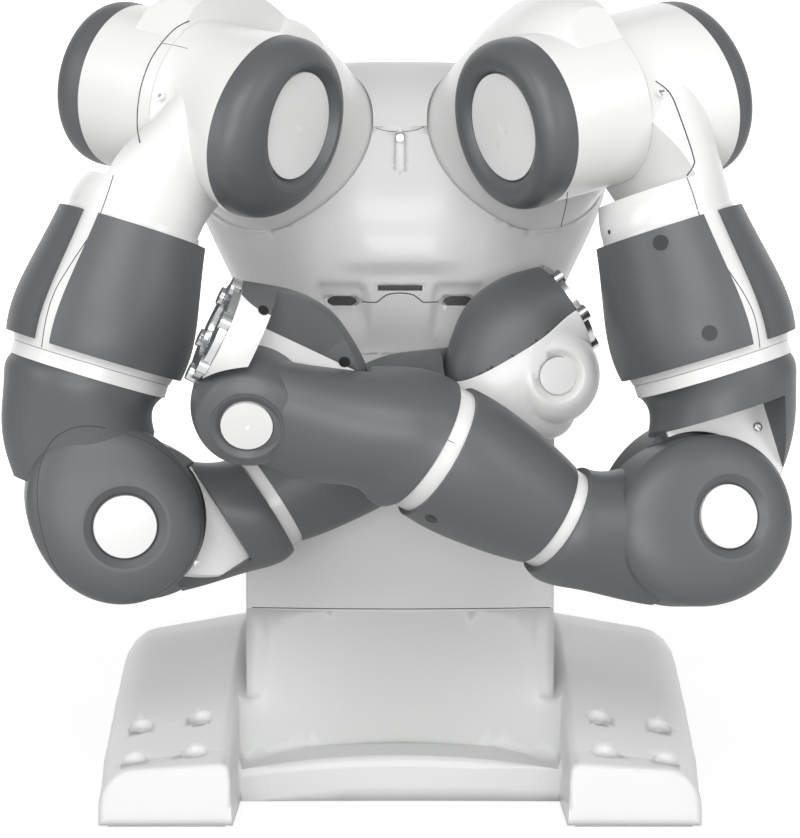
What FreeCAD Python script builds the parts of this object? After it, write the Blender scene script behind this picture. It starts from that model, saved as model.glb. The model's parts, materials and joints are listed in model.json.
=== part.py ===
import FreeCAD, Part
import math
import os
from FreeCAD import Vector, Matrix

# Dual-arm tabletop robot, millimetres and degrees.
# Origin on the floor under the body axis, +X forward, +Y to the robot's left, +Z up.

# Running clearances
running_gap = 0.3          # between faces that turn past each other
seat_gap = 0.15            # between a trim piece and the pocket it sits in

# Base
base_front = 165.0         # front end of the feet
base_rear = 332.0          # rear end behind the origin
foot_widest = 100.0        # where along the feet they are widest
base_half_front = 182.0    # half width across the front of the feet
base_half_foot = 187.5     # half width where the feet are widest
base_half_rear = 199.5     # half width across the rear
base_corner = 34.0         # radius of the base's rear corners
base_edge = 22.0           # radius of the base's upper outer edge
nose_edge = 4.0            # radius round the feet's front faces
foot_inner = 101.0         # inner side of a foot at the floor
foot_lean = 8.0            # how far that side leans outwards
foot_nose_height = 33.0    # height of a foot's front face
base_height = 119.0        # top of the base at the column
plinth_front = 98.0        # low step between the feet
plinth_height = 27.0
wall_dish = 30.0           # how deep the wall between the feet curves inwards
wall_foot = 75.0           # that wall's sides, where it meets the step
foot_bolt_x = (100.0, 138.0)
foot_bolt_y = (126.0, 164.0)
foot_bolt_radius = 3.4
foot_dimple_radius = 8.0
foot_dimple_depth = 3.0
skirt_lift = 1.0           # gap between the housing's skirt and the floor
floor_plate = 4.0          # thickness of the steel plate under the base
plate_inset = 5.0          # how far the plate sits in from the skirt
panel_half_width = 110.0   # connector panel at the rear
panel_low = 18.0
panel_high = 84.0
panel_round = 11.0         # radius of the round connectors
panel_round_pitch = 34.0
panel_socket = 16.0        # width of the square connectors
panel_socket_pitch = 40.0

# Column between base and torso
column_half_width = 100.0
column_front = 80.0
column_rear = 118.0
column_bow = 18.0          # how far the column front bows forward
column_top = 284.0
column_corner = 18.0       # radius of the rear corners
column_nose = 3.0          # radius of the front corners

# Torso
torso_top = 475.0
torso_split = 428.0        # height of the parting line between chest and top cover
torso_back_split = -45.0   # parting line of the back cover
slot_half_width = 14.0
slot_height = 326.0
slot_tall = 3.4
slot_floor = 86.0          # how far forward the slot's floor lies
slot_insert_deep = 4.0
groove_floor = 84.5        # upright groove in the chest with the cover's screw
groove_half = 3.5
groove_low = 398.0
groove_high = 424.0
vent_side = 37.0           # flat oval openings under the chest
vent_half_width = 11.5
vent_radius = 3.0
vent_height = 309.0
vent_floor = 78.0
bearing_radius = 40.0
bearing_width = 8.0

# Shoulders: where each arm's first axis leaves the torso, and how it leans
shoulder_forward = 53.55
shoulder_side = 72.5
shoulder_height = 414.92
shoulder_roll = 56.08      # turn of the axis outwards, degrees
shoulder_pitch = -32.65
shoulder_yaw = 132.74
shoulder_radius = 62.6     # round seat of the arm on the torso
shoulder_stand = 6.0       # seat plane's distance along the axis
shoulder_pin_radius = 24.0

# Link lengths, joint axis to joint axis
shoulder_offset = 30.0     # first axis to second axis, sideways
shoulder_reach = 100.0     # first axis origin to second axis
upper_length = 172.83      # second axis to the swivel
elbow_drop = 78.73         # swivel to elbow axis
elbow_offset = 41.88
fore_offset = 40.5         # elbow axis to the forearm's centre line
fore_length = 164.61       # elbow axis to the wrist roll
wrist_length = 100.39      # wrist roll to wrist bend axis
wrist_offset = 27.0
hand_length = 29.0         # wrist bend axis to the flange bearing
flange_seat = 2.7          # how far the hand's end face stands past that bearing
flange_height = 7.0

# Joint drums, each half on its own link
shoulder_drum = 50.0       # radius
shoulder_drum_half = 72.3  # end face to the joint plane
shoulder_cap_line = 54.0   # parting line of the end cap
shoulder_disc = 31.5
elbow_drum = 47.0
elbow_drum_half = 45.5
elbow_disc = 18.0
elbow_nose = 17.0          # how far the cap's egg outline reaches past its circle
elbow_trim = 49.2          # radius kept where the elbow's other half passes
elbow_clear = 50.6         # radius cleared for it
elbow_pass = 55.0          # how far along each link that trim reaches
shoulder_nose = 16.0
shoulder_crown = 75.5      # highest ring of the shoulder caps off the joint plane
arm_pass = 34.0            # depth of the shelf that lets the raised upper arm pass the first link
wrist_drum = 31.5
wrist_drum_half = 36.5
wrist_disc = 14.0
hand_disc = 11.2
hand_sweep = 68.0          # round clearance cut in the wrist for the turning hand
hand_shoulder = 14.0       # where the hand's full section starts, along its axis
disc_thick = 3.0

# Sleeves, rings and pads
pad_thick = 4.5
swivel_radius = 47.0
sleeve_ring_radius = 30.0
sleeve_ring_start = 77.0
sleeve_ring_width = 8.0
wrist_ring_radius = 37.5
wrist_ring_width = 9.5
panel_thick = 2.0
panel_depth = 8.0          # how far the side panels lie off the joint plane
screw_radius = 2.6

# Axles and spigots that carry the joints
pin_radius = 20.0          # shoulder bend
pin_length = 12.0
swivel_pin = 22.0
elbow_pin = 14.0
wrist_pin = 16.0
bend_pin = 9.0
flange_pin = 9.0
flange_pin_depth = 5.5

# Tool flange
flange_radius = 30.5
flange_pcd = 40.0
flange_bolts = 4
flange_bolt_radius = 2.5
flange_bore = 10.0

# Photographed pose, joint angles in degrees in the order
# shoulder, shoulder bend, upper-arm swivel, elbow, forearm roll, wrist bend, flange
right_pose = (112.38, -108.29, -131.46, 49.16, 178.38, 0.59, 150.0)
left_pose = (-111.53, -108.98, 97.57, 45.34, 141.58, 5.83, 0.0)

X = Vector(1, 0, 0)
Y = Vector(0, 1, 0)
Z = Vector(0, 0, 1)
ORIGIN = Vector(0, 0, 0)
FAR = 600.0                # larger than the robot, for cutting tools


# Frames

def turn(axis, degrees):
    m = Matrix()
    a = math.radians(degrees)
    if axis == "x":
        m.rotateX(a)
    elif axis == "y":
        m.rotateY(a)
    else:
        m.rotateZ(a)
    return m


def shift(x, y, z):
    m = Matrix()
    m.move(Vector(x, y, z))
    return m


def shoulder_frame(side):
    """Frame of an arm's first axis; side is 1 on the left and -1 on the right."""
    lean = turn("z", side * shoulder_yaw) * turn("y", shoulder_pitch) * turn("x", side * shoulder_roll)
    return shift(shoulder_forward, side * shoulder_side, shoulder_height) * lean


def arm_frames(side, pose):
    """Seven link frames, each after its own joint has turned about its z axis."""
    steps = (
        shoulder_frame(side),
        shift(shoulder_offset, 0, shoulder_reach) * turn("x", 90),
        shift(-shoulder_offset, upper_length, 0) * turn("x", -90),
        shift(-elbow_offset, 0, elbow_drop) * turn("y", -90) * turn("x", 90),
        shift(fore_offset, fore_length, 0) * turn("x", -90),
        shift(-wrist_offset, 0, wrist_length) * turn("x", 90),
        shift(wrist_offset, hand_length, 0) * turn("x", -90),
    )
    frames = []
    frame = Matrix()
    for step, angle in zip(steps, pose):
        frame = frame * step * turn("z", angle)
        frames.append(frame)
    return frames


# Solids

def moved(shape, frame):
    copy = shape.copy()
    copy.Placement = FreeCAD.Placement(frame).multiply(copy.Placement)
    return copy


def box(x0, x1, y0, y1, z0, z1):
    return Part.makeBox(x1 - x0, y1 - y0, z1 - z0, Vector(x0, y0, z0))


def rod(radius, start, end):
    """Cylinder between two points."""
    way = end - start
    return Part.makeCylinder(radius, way.Length, start, way)


def drum(radius, z0, z1, x=0.0, y=0.0):
    """Cylinder about the local z axis."""
    return Part.makeCylinder(radius, z1 - z0, Vector(x, y, z0))


def turned(profile, centre=ORIGIN, axis=Z):
    """Solid of revolution of (radius, height) corners about an axis through centre."""
    points = [Vector(r, 0, h) for r, h in profile]
    wire = Part.makePolygon(points + points[:1])
    solid = Part.Face(wire).revolve(ORIGIN, Z, 360)
    solid.Placement = FreeCAD.Placement(centre, FreeCAD.Rotation(Z, axis))
    return solid


def smooth_turned(profile, centre=ORIGIN, axis=Z):
    """Revolve of one smooth curve through (radius, height) points, closed to the axis."""
    curve = Part.BSplineCurve()
    curve.interpolate([Vector(r, 0, h) for r, h in profile])
    first = Vector(0, 0, profile[0][1])
    last = Vector(0, 0, profile[-1][1])
    edges = [curve.toShape()]
    edges.append(Part.makeLine(Vector(profile[-1][0], 0, profile[-1][1]), last))
    edges.append(Part.makeLine(last, first))
    edges.append(Part.makeLine(first, Vector(profile[0][0], 0, profile[0][1])))
    solid = Part.Face(Part.Wire(edges)).revolve(ORIGIN, Z, 360)
    solid.Placement = FreeCAD.Placement(centre, FreeCAD.Rotation(Z, axis))
    return solid


def loop(points):
    curve = Part.BSplineCurve()
    curve.interpolate(points, True)
    return Part.Wire([curve.toShape()])


def oval(centre, radius_a, radius_b, along_a, along_b, power=2.0, count=24):
    """Closed smooth section; a power above 2 squares the oval off."""
    points = []
    for k in range(count):
        angle = 2 * math.pi * k / count
        c, s = math.cos(angle), math.sin(angle)
        stretch = (abs(c) ** power + abs(s) ** power) ** (-1.0 / power)
        points.append(centre + along_a * (radius_a * stretch * c) + along_b * (radius_b * stretch * s))
    return loop(points)


def loft(wires):
    return Part.makeLoft(wires, True, False)


def egg(radius, nose, heading, height, count=28):
    """Round outline about the z axis that swells by nose towards the heading angle."""
    points = []
    for k in range(count):
        angle = 2 * math.pi * k / count
        swell = ((1 + math.cos(angle - math.radians(heading))) / 2) ** 4
        r = radius + nose * swell
        points.append(Vector(r * math.cos(angle), r * math.sin(angle), height))
    return loop(points)


def one(shape):
    """The single solid of a boolean result."""
    shape = shape.removeSplitter()
    return max(shape.Solids, key=lambda s: s.Volume)


def limb(sections, axis, across, power=2.0):
    """Loft of ovals: sections hold (place along axis, centre across, centre z, radius across, radius z)."""
    wires = []
    for place, mid, mid_z, wide, deep in sections:
        wires.append(oval(axis * place + across * mid + Z * mid_z, wide, deep, across, Z, power))
    return loft(wires)


def screw(centre, way, radius=screw_radius, height=1.2):
    """Round screw head with a hexagon socket."""
    head = Part.makeCylinder(radius, height, centre, way)
    socket = Part.makeCylinder(radius * 0.45, height * 0.6, centre + way * (height * 0.5), way)
    return head.cut(socket)


def half_space(point, way):
    """Large block that starts at point and fills the side that way points to."""
    block = Part.makeBox(2 * FAR, 2 * FAR, FAR, Vector(-FAR, -FAR, 0))
    block.Placement = FreeCAD.Placement(point, FreeCAD.Rotation(Z, way))
    return block


def prism(points, way):
    """Extrude a closed outline of points by the vector way."""
    wire = Part.makePolygon(list(points) + [points[0]])
    return Part.Face(wire).extrude(way)


def crowned_disc(radius, floor, up):
    """Slightly domed cover disc standing on the plane z = floor, facing up (1) or down (-1)."""
    ball = radius * 14
    top = floor + up * disc_thick
    disc = drum(radius, min(floor, top), max(floor, top))
    return one(disc.common(Part.makeSphere(ball, Vector(0, 0, top - up * ball))))


# First link: shoulder

def shoulder_link():
    """Drum on the +z side of the second axis, round seat towards -y at the first axis."""
    seat = shoulder_stand - shoulder_reach + running_gap
    neck = limb((
        (seat, -shoulder_offset, 0, shoulder_radius, shoulder_radius),
        (-70, -shoulder_offset, 0, 61.6, 61.6),
        (-40, -29, 1, 59.5, 58),
        (-10, -27, 4, 56, 52),
        (15, -24, 8, 49, 44),
        (35, -20, 10, 38, 34),
        (48, -17, 12, 22, 20)), Y, X)
    body = neck.fuse(drum(shoulder_drum, seat_gap, shoulder_cap_line))
    body = body.cut(drum(shoulder_drum + 3, -FAR, seat_gap))
    body = body.cut(box(-FAR, 0, -arm_pass, FAR, -FAR, seat_gap))
    body = body.cut(drum(shoulder_drum + 3, shoulder_cap_line, FAR))
    pin = rod(shoulder_pin_radius, Vector(-shoulder_offset, seat + 1, 0),
              Vector(-shoulder_offset, seat - 12, 0))
    axle = drum(pin_radius, -pin_length, 1)
    face = shoulder_drum_half - disc_thick
    cap = smooth_turned((
        (shoulder_drum, shoulder_cap_line),
        (shoulder_drum + 0.4, shoulder_cap_line + 7),
        (49.4, shoulder_crown - 7),
        (46.2, shoulder_crown - 2.2),
        (41, shoulder_crown - 0.3),
        (36, shoulder_crown - 1.4),
        (shoulder_disc + 0.6, face)))
    return {
        "shoulder_housing": one(body.fuse([pin, axle])),
        "shoulder_cap": cap,
        "shoulder_disc": crowned_disc(shoulder_disc, face, 1),
    }


# Second link: upper arm

def arm_profile(extra=0.0):
    """Radius and height of the upper-arm sleeve, grown by extra."""
    return [(r + extra, y) for r, y in (
        (39.5, 80.5), (42, 96), (46.5, 119), (50, 143), (49.5, 158), (47.5, upper_end()))]


def upper_end():
    """Far end of the upper arm, where the swivel ring turns."""
    return upper_length - 5.5


def arm_pads():
    """Two soft half sleeves with a strip of shell left bare between them."""
    low, high = 84.0, 163.0
    centre = Vector(-shoulder_offset, 0, 0)
    outer = smooth_turned(arm_profile(pad_thick), centre, Y)
    outer = outer.common(box(-FAR, FAR, low, high, -FAR, FAR))
    core = smooth_turned(arm_profile(seat_gap), centre, Y)
    sleeve = outer.cut(core)
    strip = 7.0
    gap = box(-FAR, FAR, 0, FAR, -strip, strip)
    halves = sleeve.cut(gap).Solids
    halves = sorted(halves, key=lambda s: s.CenterOfMass.z)
    return Part.makeCompound(halves)


def upper_arm_end():
    """Drum end on the -z side: round at the joint, egg-shaped towards its cap, dished for the disc."""
    line = -shoulder_cap_line
    round_end = -18.0
    heading = 135
    swell = [egg(radius, nose, heading, z) for radius, nose, z in (
        (shoulder_drum, 0.0, -seat_gap),
        (shoulder_drum, 0.0, round_end),
        (shoulder_drum + 0.2, shoulder_nose * 0.55, (line + round_end) / 2),
        (shoulder_drum + 0.4, shoulder_nose, line))]
    crown = [egg(radius, nose, heading, z) for radius, nose, z in (
        (shoulder_drum + 0.4, shoulder_nose, line),
        (shoulder_drum + 0.1, shoulder_nose - 0.5, line - 7),
        (48.6, shoulder_nose - 3, line - 14),
        (45, shoulder_nose - 7, line - 18.5),
        (38.5, 2, -shoulder_crown))]
    return loft(swell), loft(crown)


def upper_arm_link():
    """Drum on the -z side of the second axis, arm along +y, offset to -x."""
    neck = limb((
        (-30, -1, -26, 34, 20),
        (-12, -2, -25, 44, 23),
        (8, -5, -23.5, 46.5, 27),
        (30, -12, -18, 46.5, 31),
        (50, -23, -9, 43, 34),
        (66, -29, -2, 40, 38),
        (87, -shoulder_offset, 0, 38.2, 38.2)), Y, X)
    end, cap = upper_arm_end()
    face = shoulder_drum_half - disc_thick
    rim = -shoulder_crown - 1
    seat = turned(((0, -face), (shoulder_disc + 0.6, -face), (36.5, -shoulder_crown), (36.5, rim), (0, rim)))
    cap = one(cap.cut(seat))
    core = smooth_turned(arm_profile(), Vector(-shoulder_offset, 0, 0), Y)
    body = neck.fuse(end).fuse(core)
    body = body.cut(half_space(Vector(0, 0, -shoulder_cap_line), -Z).common(box(-FAR, FAR, -FAR, 70, -FAR, 0)))
    body = body.cut(box(-FAR, FAR, -FAR, 61, -seat_gap, FAR))
    body = body.cut(drum(pin_radius + running_gap, -pin_length - 1, 1))
    tongue = [Vector(-90, 0, -13), Vector(-90, 58, -7), Vector(-90, 58, -1.2), Vector(-90, 0, -1.2)]
    cover_tool = prism(tongue, X * 50)
    cover = max(body.common(cover_tool).Solids, key=lambda s: s.Volume)
    screw_foot = Vector(-46, 8, -7)
    head = screw(screw_foot, -X, height=5.0)
    cover = cover.cut(Part.makeCylinder(screw_radius, 8, screw_foot, -X))
    body = body.cut(cover_tool)
    spigot = rod(swivel_pin, Vector(-shoulder_offset, upper_end() - 1, 0),
                 Vector(-shoulder_offset, upper_end() + 14, 0))
    return {
        "upper_arm_shell": one(body.fuse(spigot)),
        "upper_arm_cap": cap,
        "upper_arm_disc": crowned_disc(shoulder_disc, -face, -1),
        "upper_arm_pads": arm_pads(),
        "arm_cover_plate": Part.makeCompound([one(cover), head]),
    }


# Elbow drums, shared by both halves of the elbow

def elbow_dome(up, heading):
    """Egg-shaped end cap of an elbow drum, with a dished seat for its disc."""
    wall = elbow_drum_half - 16
    rim = Part.Face(egg(elbow_drum, elbow_nose, heading, up * seat_gap)).extrude(Z * up * (wall - seat_gap))
    heights = (
        (wall, 0.0, elbow_nose), (wall + 6.5, 2.0, elbow_nose - 1.5), (wall + 11.5, 7.0, elbow_nose - 6),
        (wall + 14.7, 14.0, elbow_nose - 13), (elbow_drum_half, 21, 0))
    crown = loft([egg(elbow_drum - inset, nose, heading, up * h) for h, inset, nose in heights])
    dome = rim.fuse(crown)
    floor = elbow_drum_half - 4.5
    dish = turned(((0, up * floor), (elbow_disc + 0.6, up * floor), (elbow_disc + 1.6, up * (floor + 1.6)),
                   (elbow_disc + 7.5, up * (elbow_drum_half + 1)), (0, up * (elbow_drum_half + 1))))
    return dome.cut(dish), floor


def side_pocket(up, along, edge, rim):
    """Flat-bottomed pocket beside the drum for the side panel."""
    far = up * 60
    z0, z1 = sorted((up * panel_depth, far))
    if along == "x":
        return box(-edge, 60, -rim, 70, z0, z1)
    return box(-70, rim, -60, edge, z0, z1)


def side_panel(floor_shape, pocket, up, screw_at):
    """Thin plate on the pocket's floor, cut to the housing's outline, with its screw."""
    z0, z1 = sorted((up * panel_depth, up * (panel_depth + panel_thick)))
    slab = pocket.common(box(-FAR, FAR, -FAR, FAR, z0, z1))
    plate = floor_shape.common(slab)
    plate = plate.cut(drum(elbow_clear + 0.3, -FAR, FAR))
    plate = max(plate.Solids, key=lambda s: s.Volume)
    top = Vector(screw_at[0], screw_at[1], up * (panel_depth + panel_thick))
    return Part.makeCompound([one(plate), screw(top, Z * up)])


def elbow_link():
    """Third link in the elbow's frame: drum on +z, tube towards -x at y = -elbow_offset."""
    top = -elbow_drop + 2.4
    tube = limb((
        (top, -elbow_offset, 0, 46, 46),
        (-62, -43.5, 1, 45, 44.5),
        (-42, -34, 2, 50, 39),
        (-20, -20, 5, 55, 34),
        (5, -7, 10, 51, 29),
        (26, -4, 14, 40, 23),
        (37, -1, 16, 26, 16),
        (45, 0, 18, 11, 8)), X, Y)
    clear = box(-elbow_pass, FAR, 4, FAR, -FAR, FAR).fuse(box(-8, FAR, -FAR, FAR, -FAR, FAR))
    tube = tube.cut(one(clear).cut(drum(elbow_trim, -FAR, FAR)))
    dome, floor = elbow_dome(1, 232)
    foot = dome.common(box(-FAR, FAR, -FAR, FAR, 0, 12))
    cap = one(dome.cut(box(-FAR, FAR, -FAR, FAR, -1, 12)))
    pocket = side_pocket(-1, "x", 54, 62)
    body = tube.fuse(foot).cut(cap)
    full = body
    body = body.cut(drum(elbow_clear, -FAR, seat_gap))
    body = body.cut(pocket)
    axle = drum(elbow_pin, -pin_length, 1)
    ring_end = -elbow_drop - 5.5 + running_gap
    centre = Vector(0, -elbow_offset, 0)
    ring = rod(swivel_radius, centre + X * ring_end, centre + X * top)
    socket = rod(swivel_pin + running_gap, centre + X * (ring_end - 1), centre + X * (ring_end + 15))
    body = one(body.fuse(axle).cut(socket))
    return {
        "swivel_ring": one(ring.cut(socket)),
        "elbow_housing": body,
        "elbow_cap": cap,
        "elbow_disc": crowned_disc(elbow_disc, floor, 1),
        "elbow_panel": side_panel(full, pocket, -1, (-39, -55)),
    }


def forearm_link():
    """Fourth link in the elbow's frame: drum on -z, forearm along +y at x = fore_offset."""
    ring_start = sleeve_ring_start
    tube = limb((
        (-47, -4, -22, 12, 8),
        (-39, -3, -20, 27, 16),
        (-22, 0, -17, 44, 24),
        (5, 5, -13, 54, 29),
        (30, 17, -6, 49, 31.5),
        (50, 31, -1, 40, 34),
        (66, 39.5, 0, 36, 35.5),
        (ring_start, fore_offset, 0, 33.5, 33.5)), Y, X)
    clear = box(-FAR, -4, -FAR, elbow_pass, -FAR, FAR).fuse(box(-FAR, FAR, -FAR, 8, -FAR, FAR))
    tube = tube.cut(one(clear).cut(drum(elbow_trim, -FAR, FAR)))
    dome, floor = elbow_dome(-1, 47)
    foot = dome.common(box(-FAR, FAR, -FAR, FAR, -12, 0))
    cap = one(dome.cut(box(-FAR, FAR, -FAR, FAR, -12, 1)))
    pocket = side_pocket(1, "y", 52, 61)
    body = tube.fuse(foot).cut(cap)
    full = body
    body = body.cut(drum(elbow_clear, -seat_gap, FAR))
    body = body.cut(pocket)
    body = body.cut(drum(elbow_pin + running_gap, -pin_length - 1, 1))
    line = Vector(fore_offset, 0, 0)
    ring = rod(sleeve_ring_radius, line + Y * ring_start, line + Y * (ring_start + sleeve_ring_width))
    sleeve_start = ring_start + sleeve_ring_width
    last = fore_length - seat_gap
    end_ring_start = last - wrist_ring_width + 4
    sleeve = smooth_turned((
        (31.5, sleeve_start), (34.5, sleeve_start + 12), (38.3, sleeve_start + 34),
        (40.6, sleeve_start + 56), (40.2, end_ring_start)), line, Y)
    end_ring = rod(wrist_ring_radius, line + Y * end_ring_start, line + Y * (last + 4))
    spigot = rod(wrist_pin, line + Y * (last + 3), line + Y * (last + 16))
    return {
        "forearm_housing": one(body),
        "forearm_cap": cap,
        "forearm_disc": crowned_disc(elbow_disc, -floor, -1),
        "forearm_panel": side_panel(full, pocket, 1, (47, 24)),
        "forearm_rings": Part.makeCompound([ring, one(end_ring.fuse(spigot))]),
        "forearm_cover": sleeve,
    }


def wrist_dome(radius, half, disc, up):
    """Round end of a wrist drum with a dished seat for its disc."""
    profile = [(radius, up * seat_gap), (radius, up * half * 0.45), (radius - 2, up * half * 0.68),
               (radius - 6.5, up * half * 0.88), (radius - 12, up * half * 0.985), (disc + 5.5, up * half)]
    dome = smooth_turned(profile)
    floor = half - 3.5
    dish = turned(((0, up * floor), (disc + 0.5, up * floor), (disc + 5.5, up * (half + 0.6)),
                   (0, up * (half + 0.6))))
    return dome.cut(dish), floor


def wrist_link():
    """Fifth link in the wrist bend frame: drum on +z, tube towards -y at x = wrist_offset."""
    start = -wrist_length + 4 + running_gap
    tube = limb((
        (start, wrist_offset, 0, 38, 38),
        (-80, 25, 0, 38, 37.5),
        (-60, 18.5, 2, 36.5, 35),
        (-40, 10, 6, 35, 30.5),
        (-20, 6, 11, 31.5, 25),
        (0, 0, 14, 31.5, 21.5),
        (15, 0, 16, 24, 17),
        (25, 0, 17, 10, 9)), Y, X, 2.2)
    dome, floor = wrist_dome(wrist_drum, wrist_drum_half, wrist_disc, 1)
    body = tube.fuse(dome)
    body = body.cut(drum(hand_sweep, -FAR, seat_gap))
    line = Vector(wrist_offset, 0, 0)
    socket = rod(wrist_pin + running_gap, line + Y * (start - 1), line + Y * (start + 14))
    dish = drum(wrist_disc + 0.5, floor, FAR)
    body = body.cut(socket).cut(dish)
    body = body.fuse(drum(bend_pin, -10, 1))
    return {
        "wrist_housing": one(body),
        "wrist_disc": crowned_disc(wrist_disc, floor, 1),
    }


def hand_link():
    """Sixth link: drum on -z, hand along +y at x = wrist_offset, split into body and cover."""
    face = hand_length + flange_seat
    shell = limb((
        (-60, 15, -13, 9, 7),
        (-52, 15, -12, 24, 17),
        (-38, 14, -9, 37, 25),
        (-20, 13.5, -6, 48.5, 30),
        (0, 15.5, -4, 49.5, 32.5),
        (15, 24.5, -1, 38.5, 32.5),
        (face, wrist_offset, 0, 31, 31)), Y, X)
    dome, floor = wrist_dome(wrist_drum, wrist_drum_half, hand_disc, -1)
    whole = shell.fuse(dome)
    whole = whole.cut(drum(wrist_drum + 2, -seat_gap, FAR))
    whole = whole.cut(box(-FAR, FAR, -FAR, hand_shoulder, -seat_gap, FAR))
    whole = whole.cut(box(-FAR, FAR, face, FAR, -FAR, FAR))
    whole = whole.cut(drum(hand_disc + 0.5, -FAR, -floor))
    whole = whole.cut(drum(bend_pin + running_gap, -11, 1))
    line = Vector(wrist_offset, 0, 0)
    whole = whole.cut(rod(flange_pin + running_gap, line + Y * (face - flange_pin_depth - 0.5), line + Y * (face + 1)))
    split = prism((
        Vector(-FAR, -FAR, 3), Vector(57, -FAR, 3), Vector(48, -FAR, FAR), Vector(-FAR, -FAR, FAR)),
        Y * (2 * FAR))
    body = one(whole.common(split))
    cover = one(whole.cut(split))
    return {
        "hand_body": body,
        "hand_cover": cover,
        "hand_disc": crowned_disc(hand_disc, -floor, -1),
    }


def tool_flange():
    """Seventh link: machined flange with rim lugs, bolt circle, bore and dowels."""
    seat = flange_seat + running_gap
    base = drum(flange_radius - 2, seat, flange_height)
    for k in range(6):
        angle = math.radians(60 * k + 10)
        x, y = (flange_radius - 4) * math.cos(angle), (flange_radius - 4) * math.sin(angle)
        base = base.fuse(drum(5.0, seat, flange_height + 1.5, x, y))
    base = base.cut(drum(flange_bore, seat + 2, flange_height + 5))
    pin = drum(flange_pin, seat - flange_pin_depth, seat + 1)
    base = base.fuse(pin).cut(drum(flange_bore - 4, -FAR, FAR))
    base = base.cut(drum(flange_pcd / 2 - 4, flange_height - 1.5, flange_height + 5))
    for k in range(flange_bolts):
        angle = math.radians(360 / flange_bolts * k + 45)
        x, y = flange_pcd / 2 * math.cos(angle), flange_pcd / 2 * math.sin(angle)
        base = base.cut(drum(flange_bolt_radius, seat - 1, flange_height + 5, x, y))
    return {"tool_flange": one(base)}


# Base, column and torso

def foot_top(x):
    """Height of the base's upper surface along its length."""
    slope = ((base_front, foot_nose_height), (100, 49), (40, 70), (-20, 92), (-70, 107),
             (-column_rear, 116), (-190, base_height - 2), (-base_rear, base_height - 3))
    for (x1, z1), (x0, z0) in zip(slope, slope[1:]):
        if x >= x0:
            return z0 + (z1 - z0) * (x - x0) / (x1 - x0)
    return slope[-1][1]


def base_plan(inset, low, high):
    """Upright block with the base's outline, stepped in by inset, round at the rear corners."""
    outline = ((base_front, base_half_front), (foot_widest, base_half_foot), (-base_rear, base_half_rear))
    half = [(x, y - inset) for x, y in outline]
    half[0] = (half[0][0] - inset, half[0][1])
    half[2] = (half[2][0] + inset, half[2][1])
    ring = [Vector(x, y, low) for x, y in half] + [Vector(x, -y, low) for x, y in reversed(half)]
    block = prism(ring, Z * (high - low))
    rear = [e for e in block.Edges if abs(e.tangentAt(e.FirstParameter).z) > 0.9 and e.CenterOfMass.x < -100]
    return block.makeFillet(base_corner - inset, rear)


def base_blank():
    """Outer form of the base: side profile crossed with the plan outline."""
    top = Part.BSplineCurve()
    places = (base_front - 5, 130, 100, 60, 20, -20, -60, -column_rear, -200, -base_rear)
    top.interpolate([Vector(x, 0, foot_top(x)) for x in places])
    nose = Vector(places[0], 0, foot_top(places[0]))
    tail = Vector(-base_rear, 0, foot_top(-base_rear))
    edges = [
        top.toShape(),
        Part.makeLine(tail, Vector(-base_rear, 0, skirt_lift)),
        Part.makeLine(Vector(-base_rear, 0, skirt_lift), Vector(base_front, 0, skirt_lift)),
        Part.makeLine(Vector(base_front, 0, skirt_lift), nose),
    ]
    side = Part.Face(Part.Wire(edges)).extrude(Y * FAR)
    side.translate(Y * (-FAR / 2))
    plan = base_plan(0, 0, FAR)
    blank = one(side.common(plan))
    rim = [e for e in blank.Edges if e.BoundBox.ZMin > foot_nose_height - 3 and e.CenterOfMass.x < base_front - 10]
    blank = blank.makeFillet(base_edge, rim)
    nose = [e for e in blank.Edges if e.BoundBox.XMin > base_front - 8]
    return blank.makeFillet(nose_edge, nose)


def plan_arc(x_side, x_middle, half, z):
    """Face outline whose rear edge is an arc and whose front lies ahead of the base."""
    arc = Part.Arc(Vector(x_side, -half, z), Vector(x_middle, 0, z), Vector(x_side, half, z)).toShape()
    far = base_front + 60
    return Part.Wire([
        arc,
        Part.makeLine(Vector(x_side, half, z), Vector(far, half, z)),
        Part.makeLine(Vector(far, half, z), Vector(far, -half, z)),
        Part.makeLine(Vector(far, -half, z), Vector(x_side, -half, z))])


def bay_tool():
    """Everything that is open between the feet, above the step and ahead of it."""
    low = foot_inner
    high = foot_inner + foot_lean
    upper = Part.makeLoft([
        plan_arc(wall_foot, wall_foot - wall_dish, low + foot_lean * 0.25, plinth_height),
        plan_arc(column_front - column_bow, column_front, high, base_height + 2)], True, True)
    lower = prism((
        Vector(plinth_front, -low, -1), Vector(plinth_front, low, -1),
        Vector(plinth_front, low + 2, plinth_height + 1),
        Vector(plinth_front, -low - 2, plinth_height + 1)), X * (base_front - plinth_front + 60))
    return upper.fuse(lower)


def foot_bolts(cut_radius, z0, z1):
    holes = []
    for side in (-1, 1):
        for x in foot_bolt_x:
            for y in foot_bolt_y:
                holes.append(drum(cut_radius, z0, z1, x, side * y))
    return holes


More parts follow.
